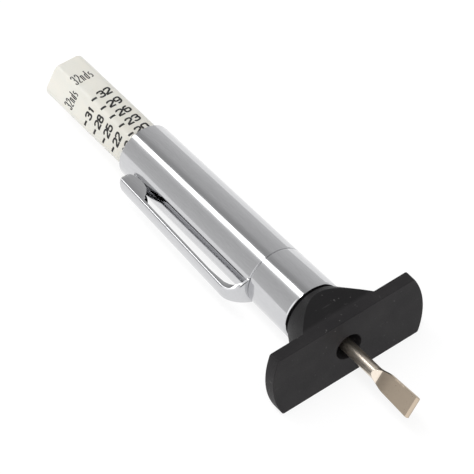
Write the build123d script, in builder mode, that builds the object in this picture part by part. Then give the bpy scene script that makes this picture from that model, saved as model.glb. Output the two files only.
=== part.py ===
from build123d import *
import os
from math import cos, radians, sin

# Tire tread depth gauge: a chromed two-piece barrel with a pocket clip, a plastic foot that rests
# on the tread, and a sliding scale bar whose probe reaches down into the groove.
# Frame: +X along the gauge towards the probe's tip, origin at the centre of the foot's front
# face, +Y along the foot, +Z up. The gauge lies on the lower long flat of its foot.

# ------------------------------------------------------------------ driving sizes, mm
DIVISION = 25.4 / 32            # one printed division of the scale, 1/32 inch
READING = 18.9                  # divisions read at the barrel's rim in the stored pose
FULL_SCALE = 32                 # the last printed division

# barrel
RIM_X = -50.45                   # open end, where the scale is read
SEAM_X = -17.95                  # joint between the barrel tube and the lower sleeve
SLEEVE_END_X = -8.5            # lower end of the sleeve, at the foot
RIM_R = 4.65
SEAM_R = 4.95
SLEEVE_END_R = 5.07
BORE_R = 4.25
SHOULDER_ROUND = 0.3           # rounding of the tube ends beside the seam
LIP_ROUND = 0.18

# clip band and the hidden joining ferrule
BAND_T = 0.5
BAND_R = 4.8
BAND_TAB_Y = -4.9
BAND_TAB_HALF_W = 1.9
FERRULE_R = 4.21
FERRULE_TOP_X = -21.05           # the scale bar's lower stop
FERRULE_BOTTOM_X = -15.2
ROD_CLEAR_R = 1.3

# rubber grip ring in the ferrule's gland
GRIP_SECTION_R = 0.52
GRIP_CENTRE_R = 1.55
GLAND_R = 2.15
GLAND_GAP = 0.08
RETAINER_T = 1.2
RETAINER_R = 2.8

# foot
FOOT_T = 2.0
FOOT_R = 13.42
FOOT_HALF_Z = 5.67
HUB_R = 8.5
COLLAR_R = 4.95
COLLAR_X = -8.1
NECK_R = 4.2
NECK_END_X = -14.3
POCKET_R = 2.2
POCKET_END_X = -8.55
FOOT_CORNER_ROUND = 1.3
FOOT_EDGE_ROUND = 0.25

# guide bush
BUSH_R = 1.98
BUSH_BORE_R = 1.05
BUSH_FLANGE_R = 3.4
BUSH_FLANGE_T = 0.8

# probe
ROD_R = 1.0
BLADE_SHOULDER_X = 6.8          # where the blade starts to widen
BLADE_FULL_X = 8.4
BLADE_HALF_W = 1.5              # half width behind the tip
TIP_HALF_W = 1.73
BLADE_HALF_T = 0.42
TIP_HALF_T = 0.32
TIP_BEVEL = 0.35
BLADE_TURN = 47.4                 # degrees from +Y towards +Z

# scale bar
BAR_TOP_X = -70.42
BAR_LENGTH = 38.94
BAR_TOP_APOTHEM = 3.78
BAR_BOTTOM_APOTHEM = 3.84
BAR_ROUND = 1.35
BAR_TURN = -3                  # degrees; the front scale face looks up, 3 degrees off +Z
SOCKET_R = 1.98
SOCKET_LENGTH = 8.9

# pocket clip
CLIP_OUTER_ROOT_Y = -8.0       # outer surface at the root bend
CLIP_OUTER_TIP_Y = -6.93        # outer surface at the free end
CLIP_TIP_X = -47.6
CLIP_BEND_R = 2.9
CLIP_SHEET = 0.4
CLIP_HALF_W = 1.3
CLIP_ROOT_HALF_W = 2.4
CLIP_FLARE_Y = -6.4             # where the strip starts to widen towards the barrel
CLIP_NOSE_L = 6.1
CLIP_NOSE_Y = -4.84             # contact line of the nose, just clear of the barrel
PIVOT_GAP = 0.14                # clearance between the flexing arm and its band

FIT = 0.02                      # hidden clearance of pieces pushed into each other

# ------------------------------------------------------------------ derived sizes
TIP_X = READING * DIVISION
STROKE_OUT = (FULL_SCALE - READING) * DIVISION
BAR_BOTTOM_X = BAR_TOP_X + BAR_LENGTH
ROD_TOP_X = BAR_BOTTOM_X - SOCKET_LENGTH + 0.6
GLAND_TOP_X = FERRULE_TOP_X + RETAINER_T
GRIP_X = GLAND_TOP_X + GLAND_GAP + GRIP_SECTION_R
GLAND_FLOOR_X = GRIP_X + GRIP_SECTION_R + GLAND_GAP

os.makedirs("parts", exist_ok=True)


def finish(solid, name):
    """Label a finished piece and write its STEP file."""
    solid.label = name
    export_step(solid, "parts/" + name + ".step")
    print(name, round(solid.volume, 2), "mm3")


# ------------------------------------------------------------------ barrel tube
with BuildPart() as barrel_tube:
    with BuildSketch(Plane.XY):
        with BuildLine():
            Polyline(
                (RIM_X, BORE_R),
                (RIM_X, RIM_R),
                (SEAM_X - BAND_T / 2, SEAM_R),
                (SEAM_X - BAND_T / 2, BORE_R),
                close=True,
            )
        make_face()
    revolve(axis=Axis.X)
    outer_rims = barrel_tube.edges().filter_by(GeomType.CIRCLE).group_by(Axis.X)
    fillet(outer_rims[0].sort_by(SortBy.RADIUS)[-1], LIP_ROUND)
    seam_rims = barrel_tube.edges().filter_by(GeomType.CIRCLE).group_by(Axis.X)[-1]
    fillet(seam_rims.sort_by(SortBy.RADIUS)[-1], SHOULDER_ROUND)
finish(barrel_tube.part, "barrel_tube")

# ------------------------------------------------------------------ lower sleeve
with BuildPart() as lower_sleeve:
    with BuildSketch(Plane.XY):
        with BuildLine():
            Polyline(
                (SEAM_X + BAND_T / 2, BORE_R),
                (SEAM_X + BAND_T / 2, SEAM_R),
                (SLEEVE_END_X, SLEEVE_END_R),
                (SLEEVE_END_X, BORE_R),
                close=True,
            )
        make_face()
    revolve(axis=Axis.X)
    seam_rims = lower_sleeve.edges().filter_by(GeomType.CIRCLE).group_by(Axis.X)[0]
    fillet(seam_rims.sort_by(SortBy.RADIUS)[-1], SHOULDER_ROUND)
    end_rims = lower_sleeve.edges().filter_by(GeomType.CIRCLE).group_by(Axis.X)[-1]
    fillet(end_rims.sort_by(SortBy.RADIUS)[-1], LIP_ROUND)
finish(lower_sleeve.part, "lower_sleeve")

# ------------------------------------------------------------------ clip band
# A thin ring held between the two tubes, with the tab that the clip's arm springs from.
with BuildPart() as clip_band:
    with BuildSketch(Plane.YZ.offset(SEAM_X - BAND_T / 2)):
        Circle(BAND_R)
        with Locations((BAND_TAB_Y / 2, 0)):
            Rectangle(-BAND_TAB_Y, 2 * BAND_TAB_HALF_W)
        Circle(BORE_R, mode=Mode.SUBTRACT)
    extrude(amount=BAND_T)
finish(clip_band.part, "clip_band")

# ------------------------------------------------------------------ joining ferrule
# Pressed into both tubes; its upper face stops the scale bar and its gland holds the grip ring.
with BuildPart() as joining_ferrule:
    with BuildSketch(Plane.XY):
        with BuildLine():
            Polyline(
                (FERRULE_TOP_X, RETAINER_R + FIT),
                (FERRULE_TOP_X, FERRULE_R),
                (FERRULE_BOTTOM_X, FERRULE_R),
                (FERRULE_BOTTOM_X, ROD_CLEAR_R),
                (GLAND_FLOOR_X, ROD_CLEAR_R),
                (GLAND_FLOOR_X, GLAND_R),
                (GLAND_TOP_X, GLAND_R),
                (GLAND_TOP_X, RETAINER_R + FIT),
                close=True,
            )
        make_face()
    revolve(axis=Axis.X)
finish(joining_ferrule.part, "joining_ferrule")

# ------------------------------------------------------------------ ring retainer
with BuildPart() as ring_retainer:
    with BuildSketch(Plane.YZ.offset(FERRULE_TOP_X)):
        Circle(RETAINER_R)
        Circle(ROD_CLEAR_R, mode=Mode.SUBTRACT)
    extrude(amount=RETAINER_T)
finish(ring_retainer.part, "ring_retainer")

# ------------------------------------------------------------------ grip ring
with BuildPart() as grip_ring:
    with BuildSketch(Plane.XY):
        with Locations((GRIP_X, GRIP_CENTRE_R)):
            Circle(GRIP_SECTION_R)
    revolve(axis=Axis.X)
finish(grip_ring.part, "grip_ring")

# ------------------------------------------------------------------ foot
# A turned disc with a conical hub and a neck that enters the sleeve, cut by two long flats.
with BuildPart() as foot:
    with BuildSketch(Plane.XY):
        with BuildLine():
            Polyline(
                (0, POCKET_R),
                (0, FOOT_R),
                (-FOOT_T, FOOT_R),
                (-FOOT_T, HUB_R),
                (COLLAR_X, COLLAR_R),
                (COLLAR_X, NECK_R),
                (NECK_END_X, NECK_R),
                (NECK_END_X, BUSH_R + FIT),
                (POCKET_END_X, BUSH_R + FIT),
                (POCKET_END_X, POCKET_R),
                close=True,
            )
        make_face()
    revolve(axis=Axis.X)
    with BuildSketch(Plane.YZ.offset(NECK_END_X)):
        Rectangle(2 * FOOT_R, 2 * FOOT_HALF_Z)
    extrude(amount=-NECK_END_X, mode=Mode.INTERSECT)
    ends = foot.edges().filter_by(Axis.X).filter_by(lambda edge: abs(edge.center().Y) > FOOT_R / 2)
    fillet(ends, FOOT_CORNER_ROUND)
    front = foot.faces().sort_by(Axis.X)[-1]
    fillet(front.outer_wire().edges(), FOOT_EDGE_ROUND)
finish(foot.part, "foot")

# ------------------------------------------------------------------ guide bush
with BuildPart() as guide_bush:
    with BuildSketch(Plane.XY):
        with BuildLine():
            Polyline(
                (POCKET_END_X, BUSH_BORE_R),
                (POCKET_END_X, BUSH_R),
                (NECK_END_X, BUSH_R),
                (NECK_END_X, BUSH_FLANGE_R),
                (NECK_END_X - BUSH_FLANGE_T, BUSH_FLANGE_R),
                (NECK_END_X - BUSH_FLANGE_T, BUSH_BORE_R),
                close=True,
            )
        make_face()
    revolve(axis=Axis.X)
finish(guide_bush.part, "guide_bush")

# ------------------------------------------------------------------ scale bar
# Six-sided bar with a slight moulding draft; the brass socket is moulded into its lower end.
with BuildPart() as scale_bar:
    for x, apothem in ((BAR_TOP_X, BAR_TOP_APOTHEM), (BAR_BOTTOM_X, BAR_BOTTOM_APOTHEM)):
        with BuildSketch(Plane.YZ.offset(x)) as section:
            RegularPolygon(apothem, 6, major_radius=False, rotation=BAR_TURN)
            fillet(section.vertices(), BAR_ROUND)
    loft(ruled=True)
    fillet(scale_bar.faces().sort_by(Axis.X)[0].edges(), 0.3)
    with BuildSketch(Plane.YZ.offset(BAR_BOTTOM_X)):
        Circle(SOCKET_R + FIT)
    extrude(amount=-SOCKET_LENGTH, mode=Mode.SUBTRACT)
finish(scale_bar.part, "scale_bar")

# ------------------------------------------------------------------ rod socket
with BuildPart() as rod_socket:
    with BuildSketch(Plane.XY):
        with BuildLine():
            Polyline(
                (BAR_BOTTOM_X, ROD_R + FIT),
                (BAR_BOTTOM_X, SOCKET_R),
                (BAR_BOTTOM_X - SOCKET_LENGTH, SOCKET_R),
                (BAR_BOTTOM_X - SOCKET_LENGTH, 0),
                (ROD_TOP_X, 0),
                (ROD_TOP_X, ROD_R + FIT),
                close=True,
            )
        make_face()
    revolve(axis=Axis.X)
finish(rod_socket.part, "rod_socket")

# ------------------------------------------------------------------ probe rod and its blade
turn = radians(BLADE_TURN)
blade_face = Plane(origin=(0, 0, 0), x_dir=(1, 0, 0), z_dir=(0, -sin(turn), cos(turn)))
blade_side = Plane(origin=(0, 0, 0), x_dir=(1, 0, 0), z_dir=(0, cos(turn), sin(turn)))
ROOT_X = BLADE_SHOULDER_X - 0.8
with BuildPart() as blade:
    with BuildSketch(blade_face) as outline:
        with BuildLine():
            Polyline(
                (ROOT_X, -ROD_R),
                (BLADE_SHOULDER_X, -ROD_R),
                (BLADE_FULL_X, -BLADE_HALF_W),
                (TIP_X, -TIP_HALF_W),
                (TIP_X, TIP_HALF_W),
                (BLADE_FULL_X, BLADE_HALF_W),
                (BLADE_SHOULDER_X, ROD_R),
                (ROOT_X, ROD_R),
                close=True,
            )
        make_face()
    extrude(amount=ROD_R, both=True)
    with BuildSketch(blade_side) as thickness:
        with BuildLine():
            Polyline(
                (ROOT_X, -ROD_R),
                (BLADE_FULL_X - 0.3, -BLADE_HALF_T),
                (TIP_X - TIP_BEVEL, -TIP_HALF_T),
                (TIP_X, -TIP_HALF_T / 2),
                (TIP_X, TIP_HALF_T),
                (BLADE_FULL_X - 0.3, BLADE_HALF_T),
                (ROOT_X, ROD_R),
                close=True,
            )
        make_face()
    extrude(amount=TIP_HALF_W + 1, both=True, mode=Mode.INTERSECT)
    with BuildSketch(Plane.XY):
        with BuildLine():
            Polyline(
                (ROOT_X, 0),
                (ROOT_X, ROD_R),
                (BLADE_SHOULDER_X, ROD_R),
                (BLADE_FULL_X, 1.15 * BLADE_HALF_W),
                (TIP_X, 1.15 * TIP_HALF_W),
                (TIP_X, 0),
                close=True,
            )
        make_face()
    revolve(axis=Axis.X, mode=Mode.INTERSECT)

with BuildPart() as probe_rod:
    with BuildSketch(Plane.YZ.offset(ROD_TOP_X + FIT)):
        Circle(ROD_R)
    extrude(amount=ROOT_X - ROD_TOP_X - FIT)
    add(blade.part)
finish(probe_rod.part, "probe_rod")

# ------------------------------------------------------------------ clip arm
# Spring strip: it leaves the band, bends through a right angle and runs along the barrel.
# Its free end is folded in to a rounded nose that presses on what the clip holds.
arm_root_y = BAND_TAB_Y - PIVOT_GAP
root_outer_x = SEAM_X + BAND_T / 2
root_inner_x = root_outer_x - CLIP_SHEET
bend_x = root_outer_x - CLIP_BEND_R
bend_y = CLIP_OUTER_ROOT_Y + CLIP_BEND_R
arm_slope = (CLIP_OUTER_TIP_Y - CLIP_OUTER_ROOT_Y) / (CLIP_TIP_X - bend_x)
nose_end_x = CLIP_TIP_X + CLIP_NOSE_L
nose_end_y = CLIP_OUTER_TIP_Y + CLIP_SHEET + arm_slope * CLIP_NOSE_L
with BuildPart() as clip_arm:
    with BuildSketch(Plane.XY):
        with BuildLine():
            Line((root_inner_x, arm_root_y), (root_outer_x, arm_root_y))
            Line((root_outer_x, arm_root_y), (root_outer_x, bend_y))
            RadiusArc((root_outer_x, bend_y), (bend_x, CLIP_OUTER_ROOT_Y), CLIP_BEND_R)
            Line((bend_x, CLIP_OUTER_ROOT_Y), (CLIP_TIP_X, CLIP_OUTER_TIP_Y))
            Line((CLIP_TIP_X, CLIP_OUTER_TIP_Y), (CLIP_TIP_X + 0.35, CLIP_OUTER_TIP_Y + 0.9))
            ThreePointArc(
                (CLIP_TIP_X + 0.35, CLIP_OUTER_TIP_Y + 0.9),
                (CLIP_TIP_X + 2.7, CLIP_NOSE_Y),
                (nose_end_x, nose_end_y),
            )
            Line((nose_end_x, nose_end_y), (bend_x, CLIP_OUTER_ROOT_Y + CLIP_SHEET))
            RadiusArc(
                (bend_x, CLIP_OUTER_ROOT_Y + CLIP_SHEET),
                (root_inner_x, bend_y),
                CLIP_SHEET - CLIP_BEND_R,
            )
            Line((root_inner_x, bend_y), (root_inner_x, arm_root_y))
        make_face()
    extrude(amount=CLIP_ROOT_HALF_W, both=True)
    with BuildSketch(Plane.XZ):
        with BuildLine():
            flare_x = root_inner_x - 0.8
            tip_x = CLIP_TIP_X + CLIP_HALF_W
            Line((SEAM_X + 1, -CLIP_ROOT_HALF_W), (flare_x, -CLIP_ROOT_HALF_W))
            Line((flare_x, -CLIP_ROOT_HALF_W), (bend_x, -CLIP_HALF_W))
            Line((bend_x, -CLIP_HALF_W), (tip_x, -CLIP_HALF_W))
            ThreePointArc((tip_x, -CLIP_HALF_W), (CLIP_TIP_X, 0), (tip_x, CLIP_HALF_W))
            Line((tip_x, CLIP_HALF_W), (bend_x, CLIP_HALF_W))
            Line((bend_x, CLIP_HALF_W), (flare_x, CLIP_ROOT_HALF_W))
            Line((flare_x, CLIP_ROOT_HALF_W), (SEAM_X + 1, CLIP_ROOT_HALF_W))
            Line((SEAM_X + 1, CLIP_ROOT_HALF_W), (SEAM_X + 1, -CLIP_ROOT_HALF_W))
        make_face()
    extrude(amount=2 * FOOT_R, both=True, mode=Mode.INTERSECT)
    with BuildSketch(Plane.YZ):
        with BuildLine():
            Polyline(
                (2 * CLIP_OUTER_ROOT_Y, -CLIP_HALF_W),
                (CLIP_FLARE_Y, -CLIP_HALF_W),
                (arm_root_y, -CLIP_ROOT_HALF_W),
                (0, -CLIP_ROOT_HALF_W),
                (0, CLIP_ROOT_HALF_W),
                (arm_root_y, CLIP_ROOT_HALF_W),
                (CLIP_FLARE_Y, CLIP_HALF_W),
                (2 * CLIP_OUTER_ROOT_Y, CLIP_HALF_W),
                close=True,
            )
        make_face()
    extrude(amount=-2 * FOOT_R + CLIP_TIP_X, mode=Mode.INTERSECT)
finish(clip_arm.part, "clip_arm")

print("probe range", round(-TIP_X, 2), "to", round(STROKE_OUT, 2), "mm")
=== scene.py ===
import bmesh
import bpy
import math
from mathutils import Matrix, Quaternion, Vector


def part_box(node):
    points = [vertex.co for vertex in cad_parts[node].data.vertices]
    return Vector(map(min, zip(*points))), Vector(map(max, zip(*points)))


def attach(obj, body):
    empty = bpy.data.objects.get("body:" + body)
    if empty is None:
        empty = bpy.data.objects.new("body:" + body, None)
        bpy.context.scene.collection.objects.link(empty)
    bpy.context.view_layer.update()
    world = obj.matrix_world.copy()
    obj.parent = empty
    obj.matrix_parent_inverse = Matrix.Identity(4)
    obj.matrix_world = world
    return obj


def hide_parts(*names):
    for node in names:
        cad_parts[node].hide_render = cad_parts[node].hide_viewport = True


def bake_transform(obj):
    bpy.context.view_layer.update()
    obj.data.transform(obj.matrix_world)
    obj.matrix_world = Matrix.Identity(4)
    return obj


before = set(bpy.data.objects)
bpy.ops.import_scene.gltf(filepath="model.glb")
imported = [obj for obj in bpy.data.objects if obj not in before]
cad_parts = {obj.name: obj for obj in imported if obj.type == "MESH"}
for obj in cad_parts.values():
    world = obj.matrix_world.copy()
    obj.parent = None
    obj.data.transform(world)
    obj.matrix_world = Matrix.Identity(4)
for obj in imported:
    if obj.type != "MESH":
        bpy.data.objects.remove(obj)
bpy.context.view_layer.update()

MM = 0.001
INCH = 25.4

# ------------------------------------------------------------------ sizes in mm, from the frame


def span(node, axis):
    """Lowest and highest coordinate of a CAD node along one axis, in mm."""
    low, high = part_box(node)
    return low[axis] / MM, high[axis] / MM


RIM_X = span("barrel_tube", 0)[0]
SEAM_HIGH_X, SLEEVE_END_X = span("lower_sleeve", 0)
SLEEVE_END_R = span("lower_sleeve", 2)[1]
SEAM_R = span("barrel_tube", 2)[1]
RIM_R = 4.65
BORE_R = 4.25
LIP_ROUND = 0.18
SLEEVE_LIP_ROUND = 0.34
SHOULDER_ROUND = 0.25
SEAM_GAP = 0.1
SEAM_LIP_ROUND = 0.1
BORE_LIP_ROUND = 0.12
SLEEVE_BORE_ROUND = 0.1

FOOT_R = span("foot", 1)[1]
FOOT_HALF_Z = span("foot", 2)[1]
NECK_END_X = span("foot", 0)[0]
FOOT_T = 2.0
HUB_R = 8.5
COLLAR_R = 4.95
COLLAR_X = -8.1
NECK_R = 4.2
POCKET_R = 2.2
POCKET_END_X = -8.55
BUSH_SEAT_R = 2.0
FOOT_CORNER_ROUND = 1.3
FOOT_EDGE_ROUND = 0.22
FOOT_SHARP = 28                 # edges turning more than this many degrees are sharp

BAR_TOP_X, BAR_BOTTOM_X = span("scale_bar", 0)
BAR_TOP_APOTHEM = 3.78
BAR_BOTTOM_APOTHEM = 3.84
BAR_ROUND = 1.35
BAR_END_ROUND = 0.35
BAR_BOTTOM_CHAMFER = 0.2
BAR_BOTTOM_INSET = 0.15
BAR_TURN = 87.0                 # direction of the first scale face, degrees from +Y towards +Z
SOCKET_R = 2.0
SOCKET_LENGTH = 8.9

ROD_R = 1.0
ROD_TOP_X, TIP_X = span("probe_rod", 0)
BLADE_RAMP_X = 6.3
BLADE_FLAT_X = 7.45
BLADE_FULL_X = 9.2
ROD_HIGHLIGHT_END_X = (7.2, 7.9)       # the rod's brighter tone, a painted highlight, turns into the blade's duller pressed finish between these
BLADE_HALF_W = 1.5
TIP_HALF_W = 1.73
BLADE_HALF_T = 0.42
TIP_HALF_T = 0.32
ROD_END_R = 0.8
BLADE_SQUARING = 0.45           # how far the widened section turns from round to square
BLADE_SHARP = 14
BEVEL_LENGTH = 0.42
BEVEL_DEPTH = 0.2
BEVEL_INSET = 0.12
PROBE_SEGMENTS = 96
BLADE_TURN = 47.4               # direction of the blade's width, degrees from +Y towards +Z
DIVISION = INCH / 32

CLIP_BEND_R = 2.9
CLIP_ROOT_X = SEAM_HIGH_X + 0.02
CLIP_ROOT_Y = -8.0
CLIP_TIP_X = span("clip_arm", 0)[0]
CLIP_TIP_Y = -6.93
CLIP_HALF_W = 1.3
CLIP_ROOT_HALF_W = 2.45
CLIP_SHEET = 0.3
CLIP_CROWN = 0.45
CLIP_NOSE_L = 6.1
CLIP_NOSE_Y = -4.82
CLIP_EDGE_ROUND = 0.11
CLIP_SHARP = 40                 # edges turning more than this many degrees are sharp
CLIP_END_L = 1.1                # length over which the free end narrows and curls in
CLIP_END_CURL = 0.65
CLIP_STATIONS = 150
BEND_SHARE = 0.3                # share of the clip's stations that lie round its bend
BEND_FLANGE = 0.5               # depth of the turned-in edges at the bend
FLANGE_SHARE = 0.42             # share at which that depth is back to nothing
FLARE_TURN = 1.15               # how far round the bend, in radians, the root's flare reaches
HUG_SHARE = 0.2                 # share over which the root follows the round of the barrel

# ------------------------------------------------------------------ materials


def new_material(name, colour, metallic, roughness):
    """A node material with its main sockets set; returns material, nodes, links and shader."""
    material = bpy.data.materials.new(name)
    material.use_nodes = True
    nodes = material.node_tree.nodes
    links = material.node_tree.links
    shader = nodes["Principled BSDF"]
    shader.inputs["Base Color"].default_value = (*colour, 1)
    shader.inputs["Metallic"].default_value = metallic
    shader.inputs["Roughness"].default_value = roughness
    return material, nodes, links, shader


def object_coordinates(nodes, links, scale):
    """Object coordinates stretched by scale, in noise cells per metre on each axis."""
    place = nodes.new("ShaderNodeTexCoord")
    mapping = nodes.new("ShaderNodeMapping")
    mapping.inputs["Scale"].default_value = scale
    links.new(place.outputs["Object"], mapping.inputs["Vector"])
    return mapping.outputs["Vector"]


def add_noise(nodes, links, scale, detail=3.0):
    noise = nodes.new("ShaderNodeTexNoise")
    noise.inputs["Scale"].default_value = 1.0
    noise.inputs["Detail"].default_value = detail
    links.new(object_coordinates(nodes, links, scale), noise.inputs["Vector"])
    return noise.outputs["Fac"]


def ramp(nodes, links, factor, stops):
    """A colour ramp; stops are (position, grey or colour)."""
    node = nodes.new("ShaderNodeValToRGB")
    elements = node.color_ramp.elements
    while len(elements) < len(stops):
        elements.new(0.5)
    for element, (position, value) in zip(elements, stops):
        element.position = position
        colour = value if isinstance(value, tuple) else (value, value, value)
        element.color = (*colour, 1)
    links.new(factor, node.inputs["Fac"])
    return node.outputs["Color"]


def add_bump(nodes, links, shader, height, distance, strength=1.0):
    bump = nodes.new("ShaderNodeBump")
    bump.inputs["Strength"].default_value = strength
    bump.inputs["Distance"].default_value = distance
    links.new(height, bump.inputs["Height"])
    links.new(bump.outputs["Normal"], shader.inputs["Normal"])


def chrome_material(name, colour):
    """Bright plating on drawn tube: faint lengthwise ripple and slightly varied polish."""
    material, nodes, links, shader = new_material(name, colour, 1.0, 0.07)
    ripple = add_noise(nodes, links, (45, 420, 420), 2.0)
    add_bump(nodes, links, shader, ripple, 0.00001, 0.12)
    haze = add_noise(nodes, links, (260, 900, 900), 4.0)
    links.new(ramp(nodes, links, haze, [(0.35, 0.05), (0.7, 0.12)]), shader.inputs["Roughness"])
    fine = add_noise(nodes, links, (700, 7000, 7000), 3.0)
    dim = tuple(0.96 * channel for channel in colour)
    bright = tuple(1.04 * channel for channel in colour)
    links.new(ramp(nodes, links, fine, [(0.3, dim), (0.7, bright)]), shader.inputs["Base Color"])
    return material


def along_axis(nodes, links, start, end, full=1.0):
    """A factor that runs from 0 to full between two places along the gauge, in millimetres."""
    place = nodes.new("ShaderNodeTexCoord")
    split = nodes.new("ShaderNodeSeparateXYZ")
    links.new(place.outputs["Object"], split.inputs["Vector"])
    share = nodes.new("ShaderNodeMapRange")
    share.inputs["From Min"].default_value = start * MM
    share.inputs["From Max"].default_value = end * MM
    share.inputs["To Max"].default_value = full
    links.new(split.outputs["X"], share.inputs["Value"])
    return share.outputs["Result"]


def mix_colour(nodes, links, factor, first, second):
    mix = nodes.new("ShaderNodeMix")
    mix.data_type = "RGBA"
    links.new(factor, mix.inputs[0])
    links.new(first, mix.inputs[6])
    mix.inputs[7].default_value = (*second, 1)
    return mix.outputs[2]


def foot_material():
    """Black moulded plastic: fine satin grain, painted shade darkening the hub, pale dust specks
    and scuffs.
    """
    material, nodes, links, shader = new_material("foot_black", (0.018, 0.017, 0.018), 0.0, 0.5)
    shader.inputs["Specular IOR Level"].default_value = 0.14
    grain = add_noise(nodes, links, (5200, 5200, 5200), 4.0)
    patches = add_noise(nodes, links, (260, 260, 260), 4.0)
    specks = add_noise(nodes, links, (1700, 1700, 1700), 2.0)
    scuffs = add_noise(nodes, links, (2600, 260, 1300), 3.0)
    tones = [(0.3, (0.0135, 0.0126, 0.0138)), (0.75, (0.0215, 0.0202, 0.0210))]
    face = ramp(nodes, links, patches, tones)
    # painted shade: the hub's cone is painted darker than the face, standing in for the shade it
    # falls in
    hub_painted_shade = along_axis(nodes, links, -FOOT_T, -FOOT_T - 0.6, 0.7)
    base = mix_colour(nodes, links, hub_painted_shade, face, (0.0045, 0.0043, 0.0047))
    scuff_share = ramp(nodes, links, scuffs, [(0.66, 0.0), (0.80, 0.6)])
    scuffed = mix_colour(nodes, links, scuff_share, base, (0.034, 0.032, 0.033))
    speck_share = ramp(nodes, links, specks, [(0.70, 0.0), (0.78, 0.9)])
    dusty = mix_colour(nodes, links, speck_share, scuffed, (0.09, 0.087, 0.087))
    links.new(dusty, shader.inputs["Base Color"])
    links.new(ramp(nodes, links, grain, [(0.3, 0.48), (0.7, 0.62)]), shader.inputs["Roughness"])
    add_bump(nodes, links, shader, grain, 0.00003, 0.35)
    return material


def bar_material():
    """Ivory moulded plastic, mottled and slightly translucent, with painted shade greying it
    towards the barrel.
    """
    material, nodes, links, shader = new_material("bar_ivory", (0.70, 0.69, 0.645), 0.0, 0.32)
    mottle = add_noise(nodes, links, (190, 420, 420), 3.0)
    stops = [(0.25, (0.675, 0.67, 0.62)), (0.55, (0.71, 0.695, 0.635)), (0.8, (0.735, 0.71, 0.645))]
    pale = ramp(nodes, links, mottle, stops)
    # painted shade: the bar's colour darkens towards the barrel, where less light falls on it
    painted_shade_near_barrel = along_axis(nodes, links, BAR_TOP_X + 5, RIM_X)
    toned = mix_colour(nodes, links, painted_shade_near_barrel, pale, (0.62, 0.605, 0.55))
    links.new(toned, shader.inputs["Base Color"])
    shader.inputs["Subsurface Weight"].default_value = 0.12
    shader.inputs["Subsurface Radius"].default_value = (0.0016, 0.0013, 0.001)
    shader.inputs["Subsurface Scale"].default_value = 0.6
    grain = add_noise(nodes, links, (3800, 3800, 3800), 3.0)
    links.new(ramp(nodes, links, grain, [(0.3, 0.27), (0.7, 0.38)]), shader.inputs["Roughness"])
    add_bump(nodes, links, shader, grain, 0.00001, 0.25)
    return material


def ink_material():
    material, nodes, links, shader = new_material("print_black", (0.008, 0.007, 0.007), 0.0, 0.5)
    patches = add_noise(nodes, links, (2600, 2600, 2600), 2.0)
    stops = [(0.35, (0.006, 0.005, 0.005)), (0.75, (0.016, 0.014, 0.013))]
    links.new(ramp(nodes, links, patches, stops), shader.inputs["Base Color"])
    return material


def nickel_material():
    """Nickel-plated steel with a warm tone and fine marks along the rod; the rod's colour is lifted
    as a painted highlight over the blade's duller pressed finish.
    """
    material, nodes, links, shader = new_material("probe_nickel", (0.56, 0.50, 0.42), 1.0, 0.25)
    drawn = add_noise(nodes, links, (1400, 4200, 4200), 3.0)
    cloud = add_noise(nodes, links, (420, 420, 420), 3.0)
    # painted highlight: the rod is given a lighter tone than the blade, standing in for the
    # highlight along it; the blade's duller tone is partly its pressed finish
    stops = [(0.3, (0.66, 0.59, 0.50)), (0.7, (0.73, 0.65, 0.56))]
    rod = ramp(nodes, links, cloud, stops)
    rod_highlight_fade = along_axis(nodes, links, *ROD_HIGHLIGHT_END_X)
    toned = mix_colour(nodes, links, rod_highlight_fade, rod, (0.475, 0.395, 0.31))
    links.new(toned, shader.inputs["Base Color"])
    links.new(ramp(nodes, links, drawn, [(0.3, 0.27), (0.7, 0.34)]), shader.inputs["Roughness"])
    add_bump(nodes, links, shader, drawn, 0.000003, 0.08)
    return material


def brass_material():
    """Turned brass with fine rings left by the lathe."""
    material, nodes, links, shader = new_material("turned_brass", (0.72, 0.55, 0.28), 1.0, 0.28)
    rings = add_noise(nodes, links, (9000, 250, 250), 2.0)
    stops = [(0.3, (0.66, 0.49, 0.24)), (0.7, (0.77, 0.60, 0.32))]
    links.new(ramp(nodes, links, rings, stops), shader.inputs["Base Color"])
    add_bump(nodes, links, shader, rings, 0.00001, 0.5)
    return material


def rubber_material():
    material, nodes, links, shader = new_material("grip_rubber", (0.03, 0.03, 0.03), 0.0, 0.6)
    grain = add_noise(nodes, links, (4200, 4200, 4200), 3.0)
    links.new(ramp(nodes, links, grain, [(0.3, 0.5), (0.7, 0.7)]), shader.inputs["Roughness"])
    add_bump(nodes, links, shader, grain, 0.00002, 0.4)
    return material


CHROME_COLOUR = (0.60, 0.602, 0.615)
chrome = chrome_material("barrel_chrome", CHROME_COLOUR)
black = foot_material()
ivory = bar_material()
ink = ink_material()
nickel = nickel_material()
brass = brass_material()
rubber = rubber_material()

# ------------------------------------------------------------------ mesh helpers, all in mm


def rounded(points, closed=True, steps=6):
    """Outline with arcs at its corners. points are (x, y) or (x, y, corner radius)."""
    outline = []
    count = len(points)
    for index, point in enumerate(points):
        radius = point[2] if len(point) > 2 else 0
        corner = Vector(point[:2])
        if radius == 0 or (not closed and index in (0, count - 1)):
            outline.append(corner)
            continue
        before = (Vector(points[index - 1][:2]) - corner).normalized()
        after = (Vector(points[(index + 1) % count][:2]) - corner).normalized()
        half = before.angle(after) / 2
        reach = radius / math.tan(half)
        centre = corner + (before + after).normalized() * radius / math.sin(half)
        start = corner + before * reach - centre
        end = corner + after * reach - centre
        for step in range(steps + 1):
            outline.append(centre + start.slerp(end, step / steps) * radius)
    return [(p.x, p.y) for p in outline]


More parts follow.
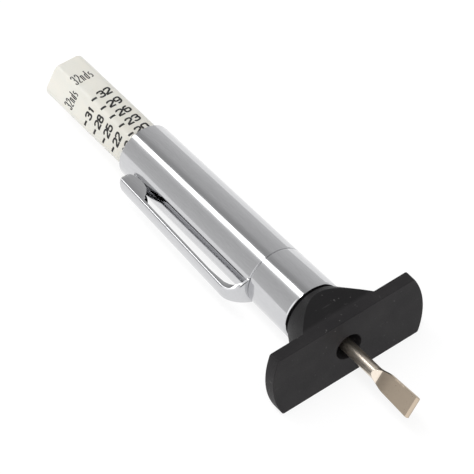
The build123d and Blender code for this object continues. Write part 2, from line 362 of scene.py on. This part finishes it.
def finish_mesh(bm, name, material, body, sharp=32):
    """Turn a bmesh in mm into a smooth-shaded piece that rides on a CAD body."""
    bmesh.ops.remove_doubles(bm, verts=bm.verts, dist=1e-5)
    bmesh.ops.recalc_face_normals(bm, faces=bm.faces)
    bmesh.ops.scale(bm, verts=bm.verts, vec=(MM, MM, MM))
    mesh = bpy.data.meshes.new(name)
    bm.to_mesh(mesh)
    bm.free()
    for polygon in mesh.polygons:
        polygon.use_smooth = True
    mesh.set_sharp_from_angle(angle=math.radians(sharp))
    mesh.materials.append(material)
    piece = bpy.data.objects.new(name, mesh)
    bpy.context.scene.collection.objects.link(piece)
    if body:
        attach(piece, body)
    return piece


def round_edges(piece, width, angle):
    """Round a piece's sharp edges, and keep its flat faces shading flat."""
    bevel = piece.modifiers.new("edge_round", "BEVEL")
    bevel.width = width * MM
    bevel.segments = 3
    bevel.limit_method = "ANGLE"
    bevel.angle_limit = math.radians(angle)
    bevel.harden_normals = True
    bpy.context.view_layer.objects.active = piece
    piece.select_set(True)
    bpy.ops.object.modifier_apply(modifier="edge_round")
    piece.select_set(False)


def lathe(outline, segments=192):
    """A ring of revolution about the X axis from a closed outline of (x, radius) points."""
    bm = bmesh.new()
    rings = []
    for segment in range(segments):
        angle = 2 * math.pi * segment / segments
        cosine, sine = math.cos(angle), math.sin(angle)
        rings.append([bm.verts.new((x, r * cosine, r * sine)) for x, r in outline])
    count = len(outline)
    for segment in range(segments):
        ring, following = rings[segment], rings[(segment + 1) % segments]
        for index in range(count):
            after = (index + 1) % count
            bm.faces.new((ring[index], ring[after], following[after], following[index]))
    return bm


def skin(bm, loops):
    """Quads between successive loops of vertices."""
    for first, second in zip(loops, loops[1:]):
        count = len(first)
        for index in range(count):
            after = (index + 1) % count
            bm.faces.new((first[index], first[after], second[after], second[index]))


# ------------------------------------------------------------------ barrel


tube_outline = rounded([
    (RIM_X, BORE_R, BORE_LIP_ROUND),
    (RIM_X, RIM_R, LIP_ROUND),
    (SEAM_HIGH_X - SEAM_GAP, SEAM_R, SEAM_LIP_ROUND),
    (SEAM_HIGH_X - SEAM_GAP, BORE_R),
])
tube = finish_mesh(lathe(tube_outline), "chrome_tube", chrome, "barrel")
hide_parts("barrel_tube")

sleeve_outline = rounded([
    (SEAM_HIGH_X, BORE_R),
    (SEAM_HIGH_X, SEAM_R, SHOULDER_ROUND),
    (SLEEVE_END_X, SLEEVE_END_R, SLEEVE_LIP_ROUND),
    (SLEEVE_END_X, BORE_R, SLEEVE_BORE_ROUND),
])
sleeve = finish_mesh(lathe(sleeve_outline), "chrome_sleeve", chrome, "barrel")
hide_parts("lower_sleeve")

# ------------------------------------------------------------------ pocket clip


def clip_station(share):
    """Centre line of the clip's outer surface: point, outward normal, half width and flange depth.

    share runs from 0 at the barrel, round the bend and along the arm, to 1 at the free end.
    """
    bend_x = CLIP_ROOT_X - CLIP_BEND_R
    bend_y = CLIP_ROOT_Y + CLIP_BEND_R
    slope = (CLIP_TIP_Y - CLIP_ROOT_Y) / (CLIP_TIP_X - bend_x)
    if share < BEND_SHARE:
        turn = math.pi / 2 * share / BEND_SHARE
        normal = Vector((math.cos(turn), -math.sin(turn)))
        point = Vector((bend_x, bend_y)) + normal * CLIP_BEND_R
        flare = max(0.0, 1 - turn / FLARE_TURN) ** 2
    else:
        x = bend_x + (CLIP_TIP_X - bend_x) * (share - BEND_SHARE) / (1 - BEND_SHARE)
        point = Vector((x, CLIP_ROOT_Y + slope * (x - bend_x)))
        normal = Vector((slope, -1)).normalized()
        flare = 0.0
    half_width = CLIP_HALF_W + (CLIP_ROOT_HALF_W - CLIP_HALF_W) * flare
    from_tip = point.x - CLIP_TIP_X
    depth = BEND_FLANGE * math.sin(math.pi * min(1.0, share / FLANGE_SHARE)) ** 2
    if share >= BEND_SHARE:
        if from_tip < CLIP_NOSE_L:
            full = CLIP_NOSE_Y - point.y - CLIP_CROWN
            along = from_tip / CLIP_NOSE_L
            depth += full * max(0.0, 1 - abs(2 * along ** 0.85 - 1) ** 2.6) ** 0.8
        if from_tip < CLIP_END_L:
            end = 1 - from_tip / CLIP_END_L
            half_width *= (1 - 0.9 * end ** 3.5) ** 0.5
            point = point + Vector((0, CLIP_END_CURL)) * end ** 3
    return point, normal, half_width, depth


def clip_section(half_width, depth, crown):
    """Closed outline of the strip across its width: (across, inward) pairs, outer side first."""
    steps = 14
    outer = []
    for step in range(steps + 1):
        turn = math.pi * step / steps
        outer.append((half_width * math.cos(turn), crown * (1 - abs(math.sin(turn)) ** 0.8)))
    edge = max(depth, 0.02) + CLIP_SHEET
    outer = [(half_width, crown + edge)] + outer + [(-half_width, crown + edge)]
    inner_width = max(half_width - CLIP_SHEET, half_width * 0.35)
    inner = []
    for step in range(steps + 1):
        turn = math.pi * (1 - step / steps)
        fall = crown * (1 - abs(math.sin(turn)) ** 0.8)
        inner.append((inner_width * math.cos(turn), CLIP_SHEET + fall))
    inner = [(-inner_width, crown + edge)] + inner + [(inner_width, crown + edge)]
    return outer + inner


def build_clip():
    bm = bmesh.new()
    loops = []
    for station in range(CLIP_STATIONS + 1):
        share = station / CLIP_STATIONS
        point, normal, half_width, depth = clip_station(share)
        crown = CLIP_CROWN * min(1.0, share / BEND_SHARE) ** 0.8
        loop = []
        hug = max(0.0, 1 - share / HUG_SHARE)
        for across, inward in clip_section(half_width, depth, crown):
            place = point - normal * inward
            round_barrel = SEAM_R - math.sqrt(SEAM_R ** 2 - across ** 2)
            loop.append(bm.verts.new((place.x, place.y + hug * round_barrel, across)))
        loops.append(loop)
    root = []
    for vert in loops[0]:
        reach = math.sqrt(SEAM_R ** 2 - vert.co.z ** 2)
        root.append(bm.verts.new((vert.co.x, -reach + 0.12, vert.co.z)))
    loops.insert(0, root)
    skin(bm, loops)
    half = len(root) // 2
    for loop in (loops[0], loops[-1]):
        for index in range(half - 1):
            a, b = loop[index], loop[index + 1]
            c, d = loop[-2 - index], loop[-1 - index]
            bm.faces.new((a, b, c, d))
    return bm


clip = finish_mesh(build_clip(), "spring_clip", chrome, None, CLIP_SHARP)
round_edges(clip, CLIP_EDGE_ROUND, CLIP_SHARP)
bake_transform(clip)
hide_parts("clip_arm")

# ------------------------------------------------------------------ foot


def flatten_side(bm, side):
    """Cut the foot along one flat side and close the cut."""
    everything = bm.verts[:] + bm.edges[:] + bm.faces[:]
    cut = bmesh.ops.bisect_plane(
        bm,
        geom=everything,
        plane_co=(0, 0, side * FOOT_HALF_Z),
        plane_no=(0, 0, side),
        clear_outer=True,
    )
    rim = [item for item in cut["geom_cut"] if isinstance(item, bmesh.types.BMEdge)]
    bmesh.ops.contextual_create(bm, geom=rim)


def foot_corner(edge):
    """True for the four edges along X where a curved end meets a flat side."""
    direction = (edge.verts[0].co - edge.verts[1].co).normalized()
    middle = (edge.verts[0].co + edge.verts[1].co) / 2
    at_end = abs(middle.y) > 0.8 * FOOT_R and abs(abs(middle.z) - FOOT_HALF_Z) < 1e-3
    return at_end and abs(direction.x) > 0.99


def build_foot():
    """Turned body with a conical hub, cut by two flats, with rounded corners."""
    outline = rounded([
        (0, POCKET_R),
        (0, FOOT_R),
        (-FOOT_T, FOOT_R),
        (-FOOT_T, HUB_R),
        (COLLAR_X, COLLAR_R),
        (COLLAR_X, NECK_R),
        (NECK_END_X, NECK_R),
        (NECK_END_X, BUSH_SEAT_R),
        (POCKET_END_X, BUSH_SEAT_R),
        (POCKET_END_X, POCKET_R),
    ])
    bm = lathe(outline, 240)
    flatten_side(bm, 1)
    flatten_side(bm, -1)
    bmesh.ops.recalc_face_normals(bm, faces=bm.faces)
    corners = [edge for edge in bm.edges if foot_corner(edge)]
    bmesh.ops.bevel(
        bm,
        geom=corners,
        offset=FOOT_CORNER_ROUND,
        segments=10,
        profile=0.5,
        affect="EDGES",
    )
    return bm


foot = finish_mesh(build_foot(), "cross_foot", black, "barrel", FOOT_SHARP)
round_edges(foot, FOOT_EDGE_ROUND, FOOT_SHARP)
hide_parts("foot")

# ------------------------------------------------------------------ scale bar


def hexagon(apothem, corner_round):
    """Rounded hexagon in (y, z), with its first face looking along BAR_TURN."""
    radius = apothem / math.cos(math.pi / 6)
    corners = []
    for side in range(6):
        angle = math.radians(BAR_TURN - 30 + 60 * side)
        corners.append((radius * math.cos(angle), radius * math.sin(angle), corner_round))
    return rounded(corners, steps=7)


def bar_apothem(x):
    share = (x - BAR_TOP_X) / (BAR_BOTTOM_X - BAR_TOP_X)
    return BAR_TOP_APOTHEM + (BAR_BOTTOM_APOTHEM - BAR_TOP_APOTHEM) * share


def build_bar():
    bm = bmesh.new()
    loops = []
    steps = 6
    for step in range(steps):
        turn = math.pi / 2 * step / steps
        x = BAR_TOP_X + BAR_END_ROUND * (1 - math.sin(turn))
        shrink = BAR_END_ROUND * (1 - math.cos(turn))
        section = hexagon(bar_apothem(x) - shrink, BAR_ROUND - shrink)
        loops.insert(0, [bm.verts.new((x, y, z)) for y, z in section])
    bm.faces.new(loops[0])
    for x in (BAR_BOTTOM_X - BAR_BOTTOM_CHAMFER, BAR_BOTTOM_X):
        shrink = BAR_BOTTOM_INSET if x == BAR_BOTTOM_X else 0.0
        section = hexagon(bar_apothem(x) - shrink, BAR_ROUND - shrink)
        loops.append([bm.verts.new((x, y, z)) for y, z in section])
    angles = [math.atan2(vert.co.z, vert.co.y) for vert in loops[-1]]
    for x in (BAR_BOTTOM_X, BAR_BOTTOM_X - SOCKET_LENGTH):
        circle = [(SOCKET_R * math.cos(angle), SOCKET_R * math.sin(angle)) for angle in angles]
        loops.append([bm.verts.new((x, y, z)) for y, z in circle])
    skin(bm, loops)
    bm.faces.new(loops[-1])
    return bm


bar = finish_mesh(build_bar(), "ivory_bar", ivory, "probe", 25)
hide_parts("scale_bar")

# ------------------------------------------------------------------ printed scale

# Strokes of the glyphs in a cell 0.62 wide and 1 high; a third value is a corner's radius.
GLYPHS = {
    "0": [
        [(0.31, 1), (0, 1, 0.22), (0, 0, 0.22), (0.62, 0, 0.22), (0.62, 1, 0.22), (0.31, 1)],
    ],
    "1": [
        [(0.16, 0.74), (0.36, 1, 0.02), (0.36, 0)],
    ],
    "2": [
        [
            (0, 0.78), (0, 1, 0.2), (0.62, 1, 0.22), (0.62, 0.6, 0.16),
            (0, 0.14, 0.1), (0, 0), (0.64, 0),
        ],
    ],
    "3": [
        [(0, 0.8), (0, 1, 0.18), (0.6, 1, 0.2), (0.6, 0.54, 0.16), (0.2, 0.54)],
        [(0.2, 0.54), (0.62, 0.54, 0.16), (0.62, 0, 0.22), (0, 0, 0.2), (0, 0.2)],
    ],
    "4": [
        [(0.46, 0), (0.46, 1), (0, 0.28), (0.66, 0.28)],
    ],
    "5": [
        [
            (0.58, 1), (0.04, 1), (0, 0.56), (0.62, 0.6, 0.2),
            (0.62, 0, 0.22), (0, 0, 0.18), (0, 0.16),
        ],
    ],
    "6": [
        [(0.5, 1), (0, 1, 0.3), (0, 0, 0.22), (0.62, 0, 0.22), (0.62, 0.58, 0.2), (0.04, 0.58)],
    ],
    "7": [
        [(0, 1), (0.62, 1, 0.04), (0.2, 0)],
    ],
    "8": [
        [
            (0.31, 0.53), (0.05, 0.53, 0.16), (0.05, 1, 0.18),
            (0.57, 1, 0.18), (0.57, 0.53, 0.16), (0.31, 0.53),
        ],
        [
            (0.31, 0.53), (0, 0.53, 0.18), (0, 0, 0.2),
            (0.62, 0, 0.2), (0.62, 0.53, 0.18), (0.31, 0.53),
        ],
    ],
    "9": [
        [(0.12, 0), (0.62, 0, 0.3), (0.62, 1, 0.22), (0, 1, 0.22), (0, 0.42, 0.2), (0.58, 0.42)],
    ],
    "n": [
        [(0, 0), (0, 0.66)],
        [(0, 0.5), (0.1, 0.64, 0.1), (0.5, 0.64, 0.16), (0.5, 0)],
    ],
    "d": [
        [(0.5, 1), (0.5, 0)],
        [(0.5, 0.62), (0, 0.62, 0.18), (0, 0, 0.18), (0.5, 0)],
    ],
    "s": [
        [
            (0.46, 0.62), (0, 0.64, 0.14), (0, 0.34, 0.12),
            (0.48, 0.34, 0.12), (0.48, 0, 0.14), (0, 0.02),
        ],
    ],
}
PRINT_LIFT = 0.012              # the ink's top above the bar's surface
PRINT_SINK = 0.03               # its underside below that surface
FIRST_NUMBER = 32               # last division of the scale, on the first face
FACE_STEP = 3                   # divisions between two numbers on one face
LABEL = "32nds"
DIGIT_HEIGHT = 1.25
DIGIT_WIDTH_SCALE = 1.42
DIGIT_GAP = 1.19
STROKE = 0.32
DIGIT_RISE = 0.0                # how far each number's middle sits above its dash
FIRST_NUMBER_RISE = 0.2         # the 32 is printed a little higher than the others
MARK_LENGTH = 0.95
MARK_STROKE = 0.4
TEXT_START = 0.5                # gap between the dash and its number
LABEL_HEIGHT = 1.9
LABEL_STROKE = 0.165
LABEL_WIDTH_SCALE = 0.575
LABEL_PITCH = 0.69
# Each printed face: how far the dashes' centre is left of the middle line, width factor,
# where the label starts, and how far its middle is above the first dash.
FACE_PRINTS = ((1.6, 1.0, -1.87, 5.1), (1.34, 0.87, -1.37, 4.6), (1.34, 0.87, -1.37, 4.85))


def face_point(x, across, face, lift):
    """A point over a scale face, following its rounded sides: across runs to the reader's right."""
    angle = math.radians(BAR_TURN + 60 * face)
    flat_half = (bar_apothem(x) - BAR_ROUND) * math.tan(math.pi / 6)
    past = min(abs(across) - flat_half, 0.95 * BAR_ROUND)
    fall = BAR_ROUND - math.sqrt(BAR_ROUND ** 2 - past ** 2) if past > 0 else 0
    height = bar_apothem(x) - fall + lift
    side = angle - math.pi / 2
    y = height * math.cos(angle) + across * math.cos(side)
    z = height * math.sin(angle) + across * math.sin(side)
    return (x, y, z)


def draw_stroke(bm, path, width, face):
    """A printed line of one width along a path of (across, x) points on a face."""
    points = [Vector(p) for p in path]
    rails = []
    for index, point in enumerate(points):
        before = points[max(index - 1, 0)]
        after = points[min(index + 1, len(points) - 1)]
        arrive = (point - before).normalized() if index else (after - point).normalized()
        leave = (after - point).normalized() if index < len(points) - 1 else arrive
        tangent = (arrive + leave).normalized()
        stretch = 1 / max(0.6, arrive.dot(tangent))
        side = Vector((-tangent.y, tangent.x)) * width / 2 * stretch
        rails.append((point + side, point - side))
    loops = []
    for left, right in rails:
        ring = []
        top = [(left, PRINT_LIFT), (right, PRINT_LIFT)]
        bottom = [(right, -PRINT_SINK), (left, -PRINT_SINK)]
        for place, lift in top + bottom:
            ring.append(bm.verts.new(face_point(place.y, place.x, face, lift)))
        loops.append(ring)
    skin(bm, loops)
    bm.faces.new(loops[0][::-1])
    bm.faces.new(loops[-1])


def draw_text(bm, text, across, base_x, size, pitch, stroke, face):
    """Glyphs one after another from across on, standing on base_x; size is (width, height)."""
    width, height = size
    for glyph in text:
        for strokes in GLYPHS[glyph]:
            outline = rounded(strokes, closed=False, steps=4)
            path = [(across + u * width, base_x - v * height) for u, v in outline]
            draw_stroke(bm, path, stroke, face)
        across += pitch


def build_print():
    """Dashes and numbers on three faces; mark N is at the rim when the tip is N divisions out."""
    bm = bmesh.new()
    for face, (offset, width, label_start, label_gap) in enumerate(FACE_PRINTS):
        first = FIRST_NUMBER - face
        left = -offset - MARK_LENGTH * width / 2
        size = (DIGIT_WIDTH_SCALE * width, DIGIT_HEIGHT)
        for number in range(first, 0, -FACE_STEP):
            mark_x = TIP_X + RIM_X - number * DIVISION
            dash = [(left + MARK_LENGTH * width * step / 6, mark_x) for step in range(7)]
            draw_stroke(bm, dash, MARK_STROKE, face)
            rise = FIRST_NUMBER_RISE if number == FIRST_NUMBER else DIGIT_RISE
            across = left + MARK_LENGTH * width + TEXT_START
            base_x = mark_x + DIGIT_HEIGHT / 2 - rise
            draw_text(bm, str(number), across, base_x, size, DIGIT_GAP * width, STROKE, face)
        size = (LABEL_WIDTH_SCALE * width, LABEL_HEIGHT)
        base_x = TIP_X + RIM_X - first * DIVISION - label_gap + LABEL_HEIGHT / 2
        draw_text(bm, LABEL, label_start, base_x, size, LABEL_PITCH * width, LABEL_STROKE, face)
    return bm


def finish_print():
    bm = build_print()
    bmesh.ops.recalc_face_normals(bm, faces=bm.faces)
    bmesh.ops.scale(bm, verts=bm.verts, vec=(MM, MM, MM))
    mesh = bpy.data.meshes.new("scale_print")
    bm.to_mesh(mesh)
    bm.free()
    mesh.materials.append(ink)
    piece = bpy.data.objects.new("scale_print", mesh)
    bpy.context.scene.collection.objects.link(piece)
    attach(piece, "probe")


finish_print()

# ------------------------------------------------------------------ probe


def probe_section(x):
    """Half width and half thickness of the rod and of the blade forged at its end."""
    if x <= BLADE_RAMP_X:
        return ROD_R, ROD_R
    share = min(1.0, (x - BLADE_RAMP_X) / (BLADE_FLAT_X - BLADE_RAMP_X))
    widening = min(1.0, (x - BLADE_RAMP_X) / (BLADE_FULL_X - BLADE_RAMP_X))
    ease = widening * widening * (3 - 2 * widening)
    along = max(0.0, (x - BLADE_FULL_X) / (TIP_X - BLADE_FULL_X))
    half_width = ROD_R + (BLADE_HALF_W - ROD_R) * ease + (TIP_HALF_W - BLADE_HALF_W) * along
    half_thick = ROD_R + (BLADE_HALF_T - ROD_R) * share + (TIP_HALF_T - BLADE_HALF_T) * along
    return half_width, half_thick


def build_probe():
    """A round rod whose end is flattened: its circle is widened and cut by two flats."""
    bm = bmesh.new()
    turn = math.radians(BLADE_TURN)
    wide = Vector((0, math.cos(turn), math.sin(turn)))
    thick = Vector((0, -math.sin(turn), math.cos(turn)))
    ramp_length = BLADE_FULL_X - BLADE_RAMP_X
    stations = [ROD_TOP_X, ROD_TOP_X + 0.25, -8.0, 0.0, BLADE_RAMP_X]
    stations += [BLADE_RAMP_X + ramp_length * step / 24 for step in range(1, 25)] + [BLADE_FLAT_X]
    stations += [10.0, 12.0, TIP_X - BEVEL_LENGTH, TIP_X - 0.2, TIP_X - 0.08, TIP_X]
    loops = []
    for x in sorted(stations):
        half_width, half_thick = probe_section(x)
        full = 1.0
        if x == ROD_TOP_X:
            full, half_width = ROD_END_R, ROD_END_R
        if x > TIP_X - BEVEL_LENGTH:
            along = (x - TIP_X + BEVEL_LENGTH) / BEVEL_LENGTH
            half_thick -= BEVEL_DEPTH * along
            half_width -= BEVEL_INSET * along ** 3
        exponent = 1 - BLADE_SQUARING * min(1.0, max(0.0, x - BLADE_RAMP_X) / ramp_length)
        loop = []
        for step in range(PROBE_SEGMENTS):
            angle = 2 * math.pi * step / PROBE_SEGMENTS
            cosine, sine = math.cos(angle), math.sin(angle)
            u = math.copysign(abs(cosine) ** exponent, cosine) * half_width
            v = max(-half_thick, min(half_thick, sine * full))
            loop.append(bm.verts.new(Vector((x, 0, 0)) + wide * u + thick * v))
        loops.append(loop)
    skin(bm, loops)
    bm.faces.new(loops[0])
    bm.faces.new(loops[-1])
    return bm


probe = finish_mesh(build_probe(), "probe_blade", nickel, "probe", BLADE_SHARP)
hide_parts("probe_rod")

# ------------------------------------------------------------------ CAD pieces that stay

for node, material in (
    ("clip_band", chrome),
    ("joining_ferrule", brass),
    ("ring_retainer", brass),
    ("guide_bush", brass),
    ("rod_socket", brass),
    ("grip_ring", rubber),
    ("barrel_tube", chrome),
    ("lower_sleeve", chrome),
    ("clip_arm", chrome),
    ("foot", black),
    ("scale_bar", ivory),
    ("probe_rod", nickel),
):
    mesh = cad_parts[node].data
    mesh.materials.clear()
    mesh.materials.append(material)

# ------------------------------------------------------------------ floor, light and camera

FLOOR_HALF = 2.0
FLOOR_ALBEDO = 0.22
FLOOR_GLOW = 0.8                # keeps the floor white where the lamps don't reach
WINDOW_DIRECTION = Vector((0.2, -0.88, 0.42)).normalized()
WINDOW_EDGES = (0.78, 0.90)     # cosines at the window's soft outer and inner edge
WINDOW_STRENGTH = 0.75
# The studio's brightness round the gauge's axis: degrees from +Y over the top to -Y, and strength.
STUDIO_STOPS = (
    (0, 0.72), (20, 0.66), (45, 0.58), (62, 0.56), (70, 0.50), (77, 0.42), (88, 0.38), (93, 0.5),
    (96, 2.8), (98, 5.2), (105, 5.2), (110, 1.2), (115, 0.72), (128, 0.6), (150, 0.62),
    (176, 0.68), (180, 0.8),
)
CAMERA_LENS = 322.5
CAMERA_SENSOR = 36.0
CAMERA_PLACE = (0.32944, -0.22202, 0.45748)
CAMERA_TARGET = Vector((-0.02741, 0.0003, 0))
CAMERA_ROLL = -6.0


def lay_floor():
    """A white floor at the height of the foot's lowest edge."""
    mesh = bpy.data.meshes.new("floor")
    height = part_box("foot")[0].z
    signs = [(-1, -1), (1, -1), (1, 1), (-1, 1)]
    corners = [(x * FLOOR_HALF, y * FLOOR_HALF, height) for x, y in signs]
    mesh.from_pydata(corners, [], [(0, 1, 2, 3)])
    floor = bpy.data.objects.new("floor", mesh)
    bpy.context.scene.collection.objects.link(floor)
    white, _, _, shader = new_material("floor_white", (FLOOR_ALBEDO,) * 3, 0.0, 0.9)
    shader.inputs["Specular IOR Level"].default_value = 0.0
    shader.inputs["Emission Color"].default_value = (1, 1, 1, 1)
    shader.inputs["Emission Strength"].default_value = FLOOR_GLOW
    mesh.materials.append(white)


def light_studio():
    """A soft grey studio with one long bright strip overhead and a soft window in front."""
    world = bpy.data.worlds.new("studio")
    bpy.context.scene.world = world
    world.use_nodes = True
    nodes = world.node_tree.nodes
    links = world.node_tree.links
    background = nodes["Background"]
    place = nodes.new("ShaderNodeTexCoord")
    split = nodes.new("ShaderNodeSeparateXYZ")
    links.new(place.outputs["Generated"], split.inputs["Vector"])
    angle = nodes.new("ShaderNodeMath")
    angle.operation = "ARCTAN2"
    links.new(split.outputs["Z"], angle.inputs[0])
    links.new(split.outputs["Y"], angle.inputs[1])
    share = nodes.new("ShaderNodeMath")
    share.operation = "DIVIDE"
    share.inputs[1].default_value = math.pi
    links.new(angle.outputs[0], share.inputs[0])
    top = max(value for _, value in STUDIO_STOPS)
    stops = [(degrees / 180, value / top) for degrees, value in STUDIO_STOPS]
    strip = ramp(nodes, links, share.outputs[0], stops)
    facing = nodes.new("ShaderNodeVectorMath")
    facing.operation = "DOT_PRODUCT"
    facing.inputs[1].default_value = WINDOW_DIRECTION
    links.new(place.outputs["Generated"], facing.inputs[0])
    edges = [(WINDOW_EDGES[0], 0.0), (WINDOW_EDGES[1], WINDOW_STRENGTH / top)]
    window = ramp(nodes, links, facing.outputs["Value"], edges)
    total = nodes.new("ShaderNodeVectorMath")
    total.operation = "ADD"
    links.new(strip, total.inputs[0])
    links.new(window, total.inputs[1])
    links.new(total.outputs["Vector"], background.inputs["Color"])
    background.inputs["Strength"].default_value = top


def place_camera():
    camera = bpy.data.objects.new("camera", bpy.data.cameras.new("camera"))
    bpy.context.scene.collection.objects.link(camera)
    camera.data.lens = CAMERA_LENS
    camera.data.sensor_width = CAMERA_SENSOR
    camera.location = CAMERA_PLACE
    sight = CAMERA_TARGET - camera.location
    roll = Quaternion(Vector((0, 0, 1)), math.radians(CAMERA_ROLL))
    camera.rotation_euler = (sight.to_track_quat("-Z", "Y") @ roll).to_euler()
    camera.data.clip_start = 0.01
    camera.data.clip_end = 20
    bpy.context.scene.camera = camera


lay_floor()
light_studio()
place_camera()
bpy.context.scene.view_settings.view_transform = "Standard"
